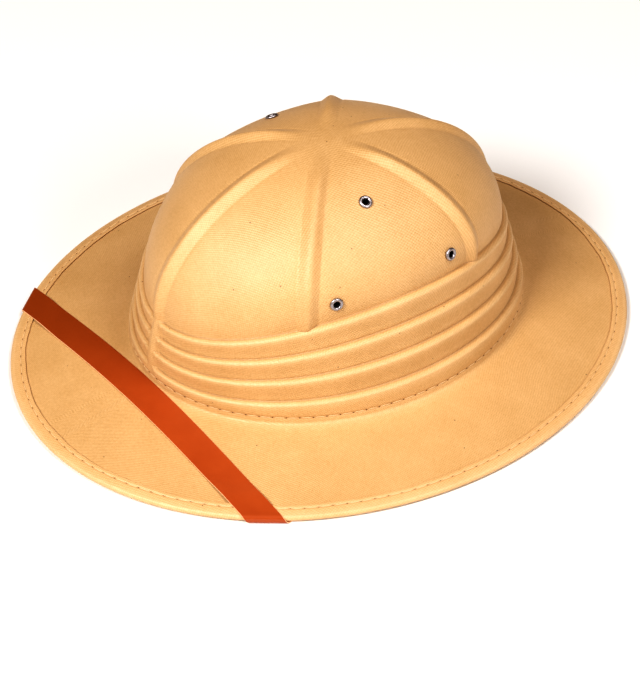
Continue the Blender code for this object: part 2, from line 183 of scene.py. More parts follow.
def bandHeight(theta):
    # Lowest at the front and the back, by one cosine of the angle and one of twice the angle
    ends = (crown["bandFront"] + crown["bandBack"]) / 4
    tilt = (crown["bandFront"] - crown["bandBack"]) / 2
    side = crown["bandSide"] / 2
    return ends + side + tilt * np.cos(theta) + (ends - side) * np.cos(2 * theta)


def ribShare(theta, spread, chosen):
    # Distance from each chosen rib's middle line as a share of its half width, where 1 is its side; spread is
    # how far apart the angles lie there, as a share of the band's top
    found = []
    for angle, keep in zip(ribs["angles"], chosen):
        if keep:
            a = math.radians(angle)
            speed = math.hypot(crown["topWidth"] / 2 * math.cos(a), crown["topLength"] / 2 * math.sin(a))
            turn = np.abs((theta - a + math.pi) % (2 * math.pi) - math.pi)
            found.append(turn * speed * spread / (ribs["width"] / 2))
    return found


def ridge(share):
    # A soft ridge, 1 in the middle and 0 at the side: six tenths of a cosine square and the rest 1 less the
    # share to the power 1.6
    inside = np.clip(share, 0.0, 1.0)
    return 0.6 * np.cos(math.pi / 2 * inside) ** 2 + 0.4 * (1 - inside ** 1.6)


def ribCrease(share):
    # A narrow bell-shaped groove just outside the rib's side
    depth, place, width = ribs["crease"]
    return depth * np.exp(-((share - place) / width) ** 2)


def panelShare(theta):
    # Share of the way from one rib to the next
    angles = np.radians(np.array(ribs["angles"] + (360.0,)))
    k = np.clip(np.searchsorted(angles, theta, side="right") - 1, 0, len(angles) - 2)
    return (theta - angles[k]) / (angles[k + 1] - angles[k])


def bandRings(theta):
    # The band's top, the plan distance that each pleat takes, and the direction from the top to the foot
    top = oval(crown["topWidth"], crown["topLength"], crown["topSetBack"], theta)
    foot = oval(crown["width"], crown["length"], crown["setBack"], theta)
    span = np.linalg.norm(foot - top, axis=-1)
    return top, span / pleats["count"], (foot - top) / span[..., None]


def domeSurface(theta, up):
    # Plan = apex + (band's top - apex) times cos(up), moved along the band's normal by the rib less the
    # panel's dip; height = band's top + the rest of the way to the apex times sin(up), plus the rib's share
    top, step, _ = bandRings(theta)
    normal = ovalNormal(crown["topWidth"], crown["topLength"], theta)
    apex = np.array([0.0, crown["apexSetBack"]])
    cos, sin = np.cos(up), np.sin(up)
    inset = pleats["ledge"] * step * np.maximum(0.0, 1 - up / math.radians(pleats["ledgeUp"])) ** 2
    inset = inset + crown["panelDip"] * np.sin(2 * up) * np.sin(math.pi * panelShare(theta))
    start, grow = ribs["apexFade"]
    fade = smooth((cos - start) / grow)
    rib = 0.0
    for share in ribShare(theta, cos, everyRib):
        rib = rib + (ribs["height"] * ridge(share) - ribCrease(share)) * fade
    over = ribs["foot"] * (pleats["ledge"] * step + pleats["roll"]) - ribs["height"]
    over = smooth(1 - up / math.radians(ribs["footUp"])) * over
    for share in ribShare(theta, cos, sideRibs):
        rib = rib + over * ridge(share)
    plan = apex + (top - apex) * cos[..., None] - normal * (inset - rib * cos)[..., None]
    low = crown["footZ"] + bandHeight(theta)
    z = low + (crown["footZ"] + crown["height"] - low) * sin + rib * sin
    return withHeight(plan, z)


def bandSurface(theta, pleat, t):
    # Each pleat, from t = 0 to 1: a squared quarter oval from the fold above to the face, then the sloping
    # face, with a pressed line where it meets the next ledge; the last face ends in a small hollow fillet at
    # the foot. A side rib runs onto the first ledge, and the front and back ribs smooth the pleats out and
    # run on down
    top, step, direction = bandRings(theta)
    normal = ovalNormal(crown["width"], crown["length"], theta)
    last = pleat == pleats["count"] - 1
    down = (pleat + t) / pleats["count"]
    turn = np.arccos(np.clip(1 - t / pleats["round"], 0.0, 1.0) ** (1 / pleats["square"]))
    stand = np.sin(turn) ** pleats["square"]
    face = np.clip((t - pleats["round"]) / (1 - pleats["round"]), 0.0, 1.0)
    fillet = np.clip((face - (1 - pleats["fillet"])) / pleats["fillet"], 0, 1) ** 2
    slope = np.where(last, pleats["lastSlope"] * face + (1 - pleats["lastSlope"]) * fillet,
        pleats["faceSlope"] * face ** 1.2)
    out = (pleat - pleats["ledge"] * (1 - stand) + slope) * step
    out = out + pleats["roll"] * stand ** 2 * (1 - smooth(face * 1.15))
    low, high = pleats["grooveReach"]
    out = out - np.where(last, 0.0, pleats["groove"] * smooth((t - (1 - low)) / low))
    out = out - np.where(pleat > 0, pleats["groove"] * smooth(1 - stand / high), 0.0)
    first = pleat == 0
    ledge = pleats["ledge"] * step
    for share in ribShare(theta, 1.0, sideRibs):
        over = -ledge + ridge(share) * ribs["foot"] * (ledge + pleats["roll"])
        out = np.where(first & (share < 1.0), np.maximum(out, over), out)
    plain = (down - (1 - down) * pleats["ledge"] / pleats["count"]) * step * pleats["count"]
    rib = 0.0
    clear, keep, fade = ribs["bandClear"], ribs["bandKeep"], ribs["bandFade"]
    for share in ribShare(theta, 1.0 + ribs["bandSpread"] * down, ribs["downBand"]):
        relief = smooth((share - clear[0]) / clear[1])
        out = out + (plain - out) * (1 - relief) * smooth((keep[0] - down) / keep[1])
        rib = rib + (ribs["height"] * ridge(share) - ribCrease(share)) * smooth((fade[0] - down) / fade[1])
    height = bandHeight(theta) * (1 - down)
    away = (height - seam["bandHeight"]) / seam["grooveWidth"]
    groove = seam["groove"] * np.exp(-away ** 2)
    plan = top + direction * out[..., None] + normal * (rib - groove)[..., None]
    return withHeight(plan, crown["footZ"] + height)


def brimAxes(share):
    # Width, length and set-back of the brim at a share of the way from the crown's foot to its edge
    width = crown["width"] + (brim["width"] - 2 * brim["inset"] - crown["width"]) * share
    length = crown["length"] + (brim["length"] - 2 * brim["inset"] - crown["length"]) * share
    return width, length, crown["setBack"] * (1 - share)


def brimSurface(theta, share):
    # Straight from the crown's foot to the edge: both axes, the set-back and the height change evenly
    width, length, back = brimAxes(share)
    return withHeight(oval(width, length, back, theta), crown["footZ"] - brim["rise"] * share)


def brimShare(x, y):
    # Share of the way over the brim at a place in plan, found by halving
    low, high = np.full_like(x, -0.5), np.full_like(x, 1.5)
    for _ in range(40):
        mid = (low + high) / 2
        width, length, back = brimAxes(mid)
        outside = (2 * x / width) ** 2 + (2 * (y - back) / length) ** 2 > 1
        low, high = np.where(outside, mid, low), np.where(outside, high, mid)
    return (low + high) / 2


def gridObject(name, points, closedAlong=False, poles=(), uv=None, crease=None):
    # A grid of points, rows by closed columns, as one mesh of quads; poles close the first and the last row,
    # a closed-along grid joins its last row to its first. Crease says how much painted shade a point gets, in
    # the pressed lines, seams and edges, and below 0 how much painted highlight
    rows, columns = points.shape[:2]
    flat = points.reshape(-1, 3)
    along = rows if closedAlong else rows - 1
    i, j = np.meshgrid(np.arange(along), np.arange(columns), indexing="ij")
    a, b = i * columns + j, (i + 1) % rows * columns + j
    c, d = (i + 1) % rows * columns + (j + 1) % columns, i * columns + (j + 1) % columns
    faces = np.stack([a, b, c, d], -1).reshape(-1, 4).tolist()
    if len(poles):
        j = np.arange(columns)
        k = (j + 1) % columns
        flat = np.vstack([flat, poles])
        faces += np.stack([np.full(columns, len(flat) - 2), j, k], -1).tolist()
        end = (rows - 1) * columns
        faces += np.stack([np.full(columns, len(flat) - 1), end + k, end + j], -1).tolist()
    mesh = bpy.data.meshes.new(name)
    mesh.from_pydata(flat.tolist(), [], faces)
    if uv is not None:
        corner = np.empty(len(mesh.loops), np.int32)
        mesh.loops.foreach_get("vertex_index", corner)
        layer = mesh.uv_layers.new(name="clothMap")
        layer.data.foreach_set("uv", np.asarray(uv, float)[corner].ravel())
    if crease is not None:
        values = np.zeros(len(flat))
        values[:crease.size] = crease.ravel()
        mesh.attributes.new("paintedShadeAndHighlight", "FLOAT", "POINT").data.foreach_set("value", values)
    return finishMesh(name, mesh)


def addObject(name, data):
    made = bpy.data.objects.new(name, data)
    scene.collection.objects.link(made)
    return made


def finishMesh(name, mesh):
    mesh.validate()
    mesh.shade_smooth()
    return addObject(name, mesh)


def facesOut(made):
    # Turns the faces outwards if the signed volume is negative
    mesh = made.data
    places = np.empty(len(mesh.vertices) * 3)
    mesh.vertices.foreach_get("co", places)
    mesh.calc_loop_triangles()
    index = np.empty(len(mesh.loop_triangles) * 3, np.int32)
    mesh.loop_triangles.foreach_get("vertices", index)
    p = places.reshape(-1, 3)[index].reshape(-1, 3, 3)
    if np.einsum("ij,ij->i", p[:, 0], np.cross(p[:, 1], p[:, 2])).sum() < 0:
        mesh.flip_normals()
    return made


def place(piece, node, slot, material):
    # Gives a piece its material and its body, and hides the frame's part for the node that it stands for;
    # slot is not used
    piece.data.materials.append(material)
    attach(piece, "root")
    if node:
        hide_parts(node)


# Cloth: cotton twill, woven, dyed and pressed in a mould, which gives fine slanting ribs, a few dark slubs, a
# soft broad shine and a faint pale bloom at grazing angles. Real ribs are about 0.45 mm apart, too fine to
# show here, so they are drawn 1.1 mm apart, and the weft 1.2 mm
twill = {
    "lightColour": "#e4bd8c",
    "darkColour": "#bc935b",
    "hemLightColour": "#e9c292",
    "hemDarkColour": "#c69c65",
    "slubColour": "#7c5836",
    "paintedShadeColour": "#8a5a2e",  # painted shade in the pressed lines, along the seams and on the hem's inner edge
    "wornColour": "#f7deb8",  # painted highlight along the pleats' shoulders and the hem's roll
    "ribSpacing": 0.0011,
    "weftSpacing": 0.0012,
    "ribAngle": 52,
    "weftTurn": 86,  # degrees between the ribs and the weft
    "hemTurn": 30,  # the hem's strip is cut this much askew
    "weaveContrast": 0.42,
    "grainContrast": 1.5,
    "toneRange": (0.75, 2.5),  # sum of the patterns that gives the dark and the light colour
    "patchScale": 38.0,  # uneven dye about 26 mm across
    "grainScale": 850.0,  # single yarns about 1.2 mm long
    "slubScale": 105.0,  # slubs about 10 mm apart, of which a few show
    "slub": (0.042, 0.03, 0.85),  # its rim and core, in cells, and how dark it is
    "roughness": 0.55,
    "specular": 1.0,
    "sheen": 0.10,
    "sheenRoughness": 0.45,
    "sheenColour": "#ffe9cc",
    "bump": 0.35,
    "bumpDepth": 0.00016,
}
waveRepeat = 0.314159  # a wave texture repeats after this at scale 1


def newMaterial(name, colour, roughness, **others):
    # The others are sockets of the shader by name
    material = bpy.data.materials.new(name)
    material.use_nodes = True
    shader = material.node_tree.nodes["Principled BSDF"]
    for socket, value in {"Base_Color": linearColour(colour), "Roughness": roughness, **others}.items():
        shader.inputs[socket.replace("_", " ")].default_value = value
    return material, material.node_tree, shader


def plainMaterial(name, colour, roughness):
    return newMaterial(name, colour, roughness)[0]


def twillMaterial(name, angle, light, dark):
    material, tree, shader = newMaterial(
        name, light, twill["roughness"], Sheen_Weight=twill["sheen"], Sheen_Roughness=twill["sheenRoughness"],
        Sheen_Tint=linearColour(twill["sheenColour"]), Specular_IOR_Level=twill["specular"])
    cloth = addNode(tree, "UVMap", {"uv_map": "clothMap"}).outputs["UV"]
    bands = {"wave_type": "BANDS", "bands_direction": "X"}
    addUp = {"operation": "MULTIPLY_ADD"}
    blend = {"data_type": "RGBA"}
    turned = addNode(tree, "Mapping", Vector=cloth, Rotation=(0, 0, math.radians(angle)))
    diagonal = addNode(tree, "TexWave", bands, Vector=turned.outputs["Vector"],
        Scale=waveRepeat / twill["ribSpacing"], Distortion=0.7, Detail=1.0, Detail_Scale=1.5)
    across = math.radians(angle - twill["weftTurn"])
    turned = addNode(tree, "Mapping", Vector=cloth, Rotation=(0, 0, across))
    weft = addNode(tree, "TexWave", bands, Vector=turned.outputs["Vector"],
        Scale=waveRepeat / twill["weftSpacing"], Distortion=0.9, Detail=1.0, Detail_Scale=1.0)
    weave = addNode(tree, "Math", addUp, i0=weft.outputs["Fac"], i1=0.8, i2=diagonal.outputs["Fac"])
    solid = addNode(tree, "TexCoord").outputs["Object"]
    patches = addNode(tree, "TexNoise", Vector=solid, Scale=twill["patchScale"], Detail=4.0, Roughness=0.6)
    grain = addNode(tree, "TexNoise", Vector=solid, Scale=twill["grainScale"], Detail=3.0, Roughness=0.75)
    tone = addNode(tree, "Math", addUp, i0=weave.outputs[0], i1=twill["weaveContrast"],
        i2=patches.outputs["Fac"])
    tone = addNode(tree, "Math", addUp, i0=grain.outputs["Fac"], i1=twill["grainContrast"],
        i2=tone.outputs[0])
    darkAt, lightAt = twill["toneRange"]
    shade = addNode(tree, "MapRange", Value=tone.outputs[0], From_Min=darkAt, From_Max=lightAt)
    colour = addNode(tree, "Mix", blend, Factor=shade.outputs["Result"],
        i6=linearColour(dark), i7=linearColour(light))
    slubs = addNode(tree, "TexVoronoi", {"feature": "F1"}, Vector=solid, Scale=twill["slubScale"],
        Randomness=1.0)
    rim, core, strength = twill["slub"]
    speck = addNode(tree, "MapRange", Value=slubs.outputs["Distance"], From_Min=rim, From_Max=core,
        To_Min=0.0, To_Max=strength)
    colour = addNode(tree, "Mix", blend, Factor=speck.outputs["Result"],
        i6=colour.outputs[2], i7=linearColour(twill["slubColour"]))
    # The mesh's attribute of painted shade, and below 0 of painted highlight
    paintedLight = addNode(tree, "Attribute", {"attribute_name": "paintedShadeAndHighlight"})
    # Painted shade: mixes in the dark colour where the attribute is above 0
    colour = addNode(tree, "Mix", blend, Factor=paintedLight.outputs["Fac"],
        i6=colour.outputs[2], i7=linearColour(twill["paintedShadeColour"]))
    # Painted highlight: mixes in the pale colour where the attribute is below 0
    worn = addNode(tree, "Math", {"operation": "MULTIPLY"}, i0=paintedLight.outputs["Fac"], i1=-1.0)
    colour = addNode(tree, "Mix", blend, Factor=worn.outputs[0],
        i6=colour.outputs[2], i7=linearColour(twill["wornColour"]))
    tree.links.new(colour.outputs[2], shader.inputs["Base Color"])
    height = addNode(tree, "Math", addUp, i0=grain.outputs["Fac"], i1=0.8, i2=weave.outputs[0])
    bump = addNode(tree, "Bump", Height=height.outputs[0], Strength=twill["bump"],
        Distance=twill["bumpDepth"])
    tree.links.new(bump.outputs["Normal"], shader.inputs["Normal"])
    return material


shellTwill = twillMaterial("cotton twill, moulded", twill["ribAngle"],
        twill["lightColour"], twill["darkColour"])
hemTwill = twillMaterial("cotton twill, folded hem", twill["ribAngle"] - twill["hemTurn"],
        twill["hemLightColour"], twill["hemDarkColour"])


# Shell: crown and brim in one

def shellColumns():
    # Angles of the columns, close together over each rib and wider apart over the panels
    found = []
    edges = ribs["angles"] + (360.0,)
    for start, end in zip(edges[:-1], edges[1:]):
        a = math.radians(start)
        speed = math.hypot(crown["topWidth"] / 2 * math.cos(a), crown["topLength"] / 2 * math.sin(a))
        half = math.degrees(ribs["width"] * shellMesh["ribReach"] / speed)
        found.append(np.linspace(start, start + half, shellMesh["ribColumns"] // 2, endpoint=False))
        found.append(np.linspace(start + half, end - half, shellMesh["panelColumns"], endpoint=False))
        found.append(np.linspace(end - half, end, shellMesh["ribColumns"] // 2, endpoint=False))
    return np.radians(np.concatenate(found))


def shellGrid():
    # Returns the columns' angles, the points, and how much painted shade each gets, below 0 how much painted
    # highlight
    theta = shellColumns()
    # The first row is a little off the apex, and the power sets rows a little closer by the band
    rows = np.linspace(0.02, 1.0, shellMesh["domeRows"], endpoint=False)
    t2, up2 = np.meshgrid(theta, np.radians(90 * (1 - rows ** 0.92)))
    parts = [domeSurface(t2, up2)]
    paintedLight = [np.zeros_like(t2)]
    # No painted shade in the pressed lines, and no painted highlight, on the front and back ribs
    plain = np.ones_like(theta)
    for share in ribShare(theta, 1.0, ribs["downBand"]):
        plain = plain * smooth((share - 0.5) / 0.6)
    turn = np.linspace(0, math.pi / 2, shellMesh["shoulderRows"])
    shoulder = pleats["round"] * (1 - np.cos(turn) ** pleats["square"])
    lowRows = shellMesh["lowRows"]
    shade, below, above = pleats["line"]
    pale, paleAt, paleWidth = pleats["worn"]
    face = np.linspace(pleats["round"], lowRows[0], shellMesh["faceRows"])[1:]
    lastFace = np.linspace(pleats["round"], 1.0, shellMesh["seamRows"])[1:-1]
    for pleat in range(pleats["count"]):
        last = pleat == pleats["count"] - 1
        rows = [shoulder, lastFace] if last else [shoulder, face, lowRows[1:]]
        t2, r2 = np.meshgrid(theta, np.concatenate(rows))
        parts.append(bandSurface(t2, np.full_like(t2, pleat), r2))
        # Painted shade in the pressed line at a face's foot and under the next shoulder, and along the band's
        # seam; painted highlight along each shoulder
        low = 0.0 if last else smooth((r2 - (1 - below)) / below)
        high = smooth(1 - r2 / above)
        away = bandHeight(t2) * (1 - (pleat + r2) / pleats["count"]) - seam["bandHeight"]
        worn = pale * np.exp(-((r2 - paleAt) / paleWidth) ** 2) * plain
        seamShade = seam["shade"] * np.exp(-(away / seam["shadeWidth"]) ** 2)
        dark = np.maximum(shade * np.maximum(low, high) * plain, seamShade)
        paintedLight.append(np.where(dark > 0.02, dark, dark - worn))
    t2, share = np.meshgrid(theta, np.linspace(0.0, 1.0, shellMesh["brimRows"]))
    parts.append(brimSurface(t2, share))
    paintedLight.append(np.zeros_like(t2))
    return theta, np.concatenate(parts), np.concatenate(paintedLight)


def innerSide(theta, outer):
    # The outer surface moved down and inwards by the wall, less inwards near the apex
    normal = ovalNormal(crown["topWidth"], crown["topLength"], theta)
    dome = shellMesh["domeRows"]
    lean = np.ones(len(outer))
    above = outer[:dome, :, 2].mean(1) - crown["wallFullAt"]
    lean[:dome] = np.sqrt(np.clip(1 - (above / crown["wallFade"]) ** 2, 0, 1))
    lean[-1] = 0.0
    shift = withHeight(normal * crown["wall"], 0 * theta)
    return outer - lean[:, None, None] * shift - np.array([0.0, 0.0, crown["wall"]])


def flatCloth(points, apex, theta):
    # The cloth laid flat from the apex: distance along the surface, in the direction of the angle
    steps = np.linalg.norm(np.diff(np.concatenate([apex + 0 * points[:1], points]), axis=0), axis=-1)
    along = np.cumsum(steps, axis=0)
    return np.stack([along * np.sin(theta), -along * np.cos(theta)], -1).reshape(-1, 2)


theta, outer, paintedLight = shellGrid()
inner = innerSide(theta, outer)
# The inner side keeps each third row and the last
inner = inner[np.unique(np.concatenate([np.arange(0, len(outer), 3), [len(outer) - 1]]))]
apex = np.array([0.0, crown["apexSetBack"], crown["footZ"] + crown["height"]])
under = apex - np.array([0.0, 0.0, crown["wall"]])
innerMap = flatCloth(inner, under, theta).reshape(len(inner), -1, 2)[::-1].reshape(-1, 2)
clothMap = np.concatenate([flatCloth(outer, apex, theta), innerMap, [[0, 0], [0, 0]]])
shell = gridObject("crownAndBrim", np.concatenate([outer, inner[::-1]]), poles=(apex, under), uv=clothMap,
        crease=paintedLight)
facesOut(shell)
print("shell:", len(shell.data.polygons), "faces")


# Vent eyelets: brass, pressed and nickel plated, bright but with soft reflections

eyelets = {
    "spots": (("top", 86.0, 52.0), ("front", 68.0, 10.5), ("back", 108.0, 12.5)),  # around, up the dome
    "bore": 0.0031,
    "flange": 0.0065,
    "tubeWall": 0.0004,
    "dome": 0.0009,  # height of the lip
    "back": 0.0005,  # height of the rolled back end
    "seat": 0.0004,
    "sides": 48,
    "colour": "#b4aeb0",
    "roughness": 0.4,
    "tarnishScale": 650.0,  # handling marks, fine tarnish about 1.5 mm across
    "polish": (0.3, 0.5),  # roughness of bright and of tarnished metal
}


def domeFrame(around, up, side):
    # Place and outward direction on the dome, from two points half a degree away
    spots = np.radians([[around, around + 0.5, around]])
    ups = np.radians([[up, up, up + 0.5]])
    p = domeSurface(spots, ups)[0] * np.array([side, 1, 1])
    out = np.cross(p[1] - p[0], p[2] - p[0]) * side
    return p[0], out / np.linalg.norm(out)


def turnedPoints(profile, place, out, sides):
    # Circle of each profile radius about the outward direction, at the profile's height along it
    helper = np.array([0.0, 1.0, 0.0])
    first = np.cross(helper, out)
    first /= np.linalg.norm(first)
    second = np.cross(out, first)
    profile, angle = np.array(profile), fullTurn(sides)
    circle = np.outer(np.cos(angle), first) + np.outer(np.sin(angle), second)
    return place + profile[:, :1, None] * circle[None] + profile[:, 1:, None] * out


def eyeletProfile(wall):
    # Radius and height round the section: domed lip, tube through the wall, rolled back end
    bore, flange = eyelets["bore"] / 2, eyelets["flange"] / 2
    tube, seat = bore + eyelets["tubeWall"], eyelets["seat"]
    turn = np.linspace(0, math.pi, 15)
    lip = np.stack([(bore + flange) / 2 - (flange - bore) / 2 * np.cos(turn),
        seat + eyelets["dome"] * np.sin(turn) ** 0.75], -1)
    back = -wall - 2.5 * seat
    end = back - eyelets["back"]
    inside = [[tube, seat], [tube, back], [flange * 0.9, back],
              [flange * 0.92, back - eyelets["back"] * 0.5], [flange * 0.86, end],
              [bore + 0.0003, end], [bore, back - 0.0002]]
    return np.concatenate([lip, inside])


def nickelMaterial():
    material, tree, shader = newMaterial("brass, nickel plated", eyelets["colour"], eyelets["roughness"],
        Metallic=1.0)
    solid = addNode(tree, "TexCoord").outputs["Object"]
    tarnish = addNode(tree, "TexNoise", Vector=solid, Scale=eyelets["tarnishScale"], Detail=3.0,
        Roughness=0.6)
    bright, dull = eyelets["polish"]
    polish = addNode(tree, "MapRange", Value=tarnish.outputs["Fac"], From_Min=0.3, From_Max=0.7,
        To_Min=bright, To_Max=dull)
    tree.links.new(polish.outputs["Result"], shader.inputs["Roughness"])
    return material


nickel = nickelMaterial()
cutters = []
for side, label in ((1, "left"), (-1, "right")):
    for spot, around, up in eyelets["spots"]:
        middle, out = domeFrame(around, up, side)
        a = math.radians(up)
        wall = crown["wall"] * (math.cos(a) ** 2 + math.sin(a))
        node = "eyelet_" + label + "_" + spot
        points = turnedPoints(eyeletProfile(wall), middle, out, eyelets["sides"])
        eyelet = gridObject("eyelet" + label.capitalize() + spot.capitalize(), points, closedAlong=True)
        place(facesOut(eyelet), node, "nickel", nickel)
        radius = eyelets["bore"] / 2 + eyelets["tubeWall"] + 0.0002
        rod = turnedPoints([[radius, 0.004], [radius, -0.006]], middle, out, 24)
        drill = facesOut(gridObject("drill" + label + spot, rod, poles=(rod[0].mean(0), rod[1].mean(0))))
        cut = shell.modifiers.new(drill.name, "BOOLEAN")
        cut.operation = "DIFFERENCE"
        cut.solver = "MANIFOLD"
        cut.object = drill
        cutters.append(drill)
drilled = bpy.data.meshes.new_from_object(shell.evaluated_get(bpy.context.evaluated_depsgraph_get()))
shell.modifiers.clear()
shell.data = drilled
for drill in cutters:
    bpy.data.objects.remove(drill)
shell.data.materials.clear()
place(shell, "crown_brim_shell", "tan_twill", shellTwill)
print("eyelets set, shell drilled:", len(shell.data.polygons), "faces")


# Hem: a strip of the same cloth folded over the brim's edge and stitched through

hem = {
    "width": 0.0075,
    "wall": 0.0008,
    "gap": 0.0001,
    "columns": 720,
    "waviness": 0.00016,
    "waves": ((17, 1.0, 1.0), (41, 0.6, 0.0), (97, 0.4, 2.0)),  # how many around, share, shift
    "puff": 0.00022,
    "groove": 0.00040,
    "grooveWidth": 0.08,
    "seamAt": 8 / 22,  # share of the flat top, from the inner edge
    "seamRows": (14, 47),  # the section's rows on which the upper and the lower seam lie
    "lengthRow": 31,  # the row on which the strip's length is measured
    "wornRows": (27, 38),  # painted highlight on the roll's outer side
    # how pale that painted highlight is
    "worn": 0.1,
    "edgeShade": (0.9, 0.9, 0.8, 0.5, 0.2),  # painted shade on the inner edge's face, its first rows
    # painted shade along the upper seam's groove, row by row
    "seamShade": (0.15, 0.35, 0.15),
}
hem["thickness"] = crown["wall"] + 2 * hem["gap"] + 2 * hem["wall"]


def hemGrid():
    # The tape's section, carried round the brim's oval: inner fold, top with its sewn groove, half-round
    # roll, underside, inner fold, and back along the inside of the tape
    theta = fullTurn(hem["columns"])
    up = np.array([0.0, 0.0, 1.0])
    half, gap, wall = hem["thickness"] / 2, hem["gap"], hem["wall"]
    normal = withHeight(ovalNormal(brim["width"], brim["length"], theta), 0 * theta)
    ones = np.ones_like(theta)
    edge = withHeight(oval(brim["width"], brim["length"], 0.0, theta), crown["edgeZ"] * ones)
    topEdge, inward = brimSurface(theta, ones), brimSurface(theta, 0 * ones)
    span = np.linalg.norm((topEdge - inward)[:, :2], axis=1)
    waves = sum(share * np.sin(count * theta + shift) for count, share, shift in hem["waves"])
    topEnd = brimSurface(theta, 1 - (hem["width"] - brim["inset"] + hem["waviness"] * waves) / span)
    bottomEnd, bottomEdge = topEnd - up * crown["wall"], topEdge - up * crown["wall"]
    rows = []
    fold = np.radians(np.linspace(-90, 90, 7))
    for a in fold:
        centre = topEnd + up * (gap + wall / 2) + normal * wall / 2
        rows.append(centre - normal * wall / 2 * math.cos(a) + up * wall / 2 * math.sin(a))
    start, end = rows[-1], edge - normal * half + up * half
    for k in np.linspace(0, 1, 23)[1:-1]:
        groove = hem["groove"] * math.exp(-((k - hem["seamAt"]) / hem["grooveWidth"]) ** 2)
        puff = hem["puff"] * math.sin(math.pi * k) - groove
        rows.append(start + (end - start) * k + up * puff)
    for a in np.radians(np.linspace(90, -90, 15)):
        rows.append(edge + normal * (half * (math.cos(a) - 1)) + up * half * math.sin(a))
    start, end = rows[-1], bottomEnd - up * (gap + wall) + normal * wall / 2
    flat = edge - normal * 2 * half * 0.9 - up * half
    for k in np.linspace(0, 1, 4)[1:]:
        rows.append(start + (flat - start) * k)
    for k in np.linspace(0, 1, 6)[1:-1]:
        rows.append(flat + (end - flat) * k)
    for a in fold:
        centre = bottomEnd - up * (gap + wall / 2) + normal * wall / 2
        rows.append(centre - normal * wall / 2 * math.cos(a) + up * wall / 2 * math.sin(a))
    rows.append(bottomEdge + normal * gap - up * gap)
    rows.append(topEdge + normal * gap + up * gap)
    return np.array(rows)


hemPoints = hemGrid()
ring = hemPoints[hem["lengthRow"]]
around = np.cumsum(np.linalg.norm(np.diff(ring, axis=0, append=ring[:1]), axis=1))
across = np.cumsum(np.linalg.norm(np.diff(hemPoints[:, 0], axis=0, prepend=hemPoints[:1, 0]), axis=1))
# The strip's own length and width, drawn on a large circle so that it closes without a seam
reach = around[-1] / (2 * math.pi)
ringAngle, across = around / reach, reach + across[:, None]
hemMap = np.stack([across * np.sin(ringAngle), across * np.cos(ringAngle)], -1).reshape(-1, 2)
hemPaintedLight = np.zeros(hemPoints.shape[:2])
seamRow, underSeamRow = hem["seamRows"]
# Painted shade on the inner edge's face and along the upper seam, and painted highlight on the roll's outer
# side
hemPaintedLight[:len(hem["edgeShade"])] = np.array(hem["edgeShade"])[:, None]
hemPaintedLight[seamRow - 1:seamRow + 2] = np.array(hem["seamShade"])[:, None]
hemPaintedLight[slice(*hem["wornRows"])] = -hem["worn"]
hemPiece = facesOut(gridObject("hemBinding", hemPoints, closedAlong=True, uv=hemMap, crease=hemPaintedLight))
place(hemPiece, "brim_binding", "tan_twill_hem", hemTwill)
print("hem:", len(hemPiece.data.polygons), "faces")


# Chin strap: vinyl-faced leather cut to a strip, glossy on top, with pale raw edges

strap = {
    "width": 0.015,
    "thickness": 0.0006,
    "gap": 0.0001,
    "crease": 0.85,  # 1 rounds the fold at the brim's edge, less presses it sharper
    "slant": 3.7,  # degrees, its left end lies further back
    "sewn": 75.0,  # degrees from the front, where its ends reach the crown's mouth
    "bend": 0.0025,
    "climb": 0.010,
    "overFrom": 2.6,  # hem widths from the brim's edge at which it starts to rise onto the hem
    "overSpan": 1.6,
    "level": 0.6,  # hem thicknesses from the edge that its underside stays level
    "rows": (60, 28, 90),  # over the brim, round the fold, below
    "topColour": "#b96031",
    "deepColour": "#a65025",
    "darkColour": "#8d471c",  # painted shade: the right end is darker
    "dark": (0.74, 0.035, 0.125),  # how dark the painted shade is, and from where to where after the right fold
    "edgeColour": "#e6b890",
    "edgeFrom": 0.965,  # share of the half width at which the raw edge begins
    "roughness": 0.26,
    "edgeRoughness": 0.8,
    "specular": 0.45,
    "poreScale": 1250.0,  # pressed grain about 0.8 mm across
    "shiftScale": 60.0,  # slow shifts of tone, about 17 mm
    "bump": 0.12,
    "bumpDepth": 0.0001,
}


def ovalReach(start, direction, size):
    # Distance along a line in plan to the nearer side of an oval of those half axes about the origin
    p, q = start / size, direction / size
    root = math.sqrt((p @ q) ** 2 - q @ q * (p @ p - 1))
    return (-p @ q - root) / (q @ q)


def strapOver(share):
    # How much higher the strap lies where it rises onto the hem
    reach = 2 * hem["width"] / (brim["width"] - crown["width"])
    rise = (share - 1 + strap["overFrom"] * reach) / (strap["overSpan"] * reach)
    return smooth(rise) * (hem["wall"] + hem["gap"])


def strapRest(spot):
    # Height of what the strap lies on, above the brim
    share = brimShare(spot[..., 0], spot[..., 1])
    return crown["footZ"] - brim["rise"] * share + strapOver(share)


def strapUnder(spot):
    # Height of the strap's middle below the brim
    share = brimShare(spot[..., 0], spot[..., 1])
    flat = 2 * strap["level"] * hem["thickness"] / (brim["width"] - crown["width"])
    below = crown["wall"] + strap["gap"] + strap["thickness"] / 2 + strapOver(share)
    return crown["footZ"] - brim["rise"] * np.minimum(share + flat, 1.0) - below


def strapClimb(past, low):
    # Past the mouth's line the strap turns up on an arc and then runs straight, leaning inwards
    lean = math.atan2((crown["width"] - crown["topWidth"]) / 2, crown["bandSide"])
    rise = math.atan2(2 * brim["rise"], brim["width"] - crown["width"])
    turn = math.pi / 2 - lean - rise
    angle = rise + np.clip(past / strap["bend"], 0, turn)
    straight = np.maximum(past - strap["bend"] * turn, 0.0)
    inward = strap["bend"] * (np.sin(angle) - math.sin(rise)) + straight * math.sin(lean)
    return inward, low + strap["bend"] * (math.cos(rise) - np.cos(angle)) + straight * math.cos(lean)


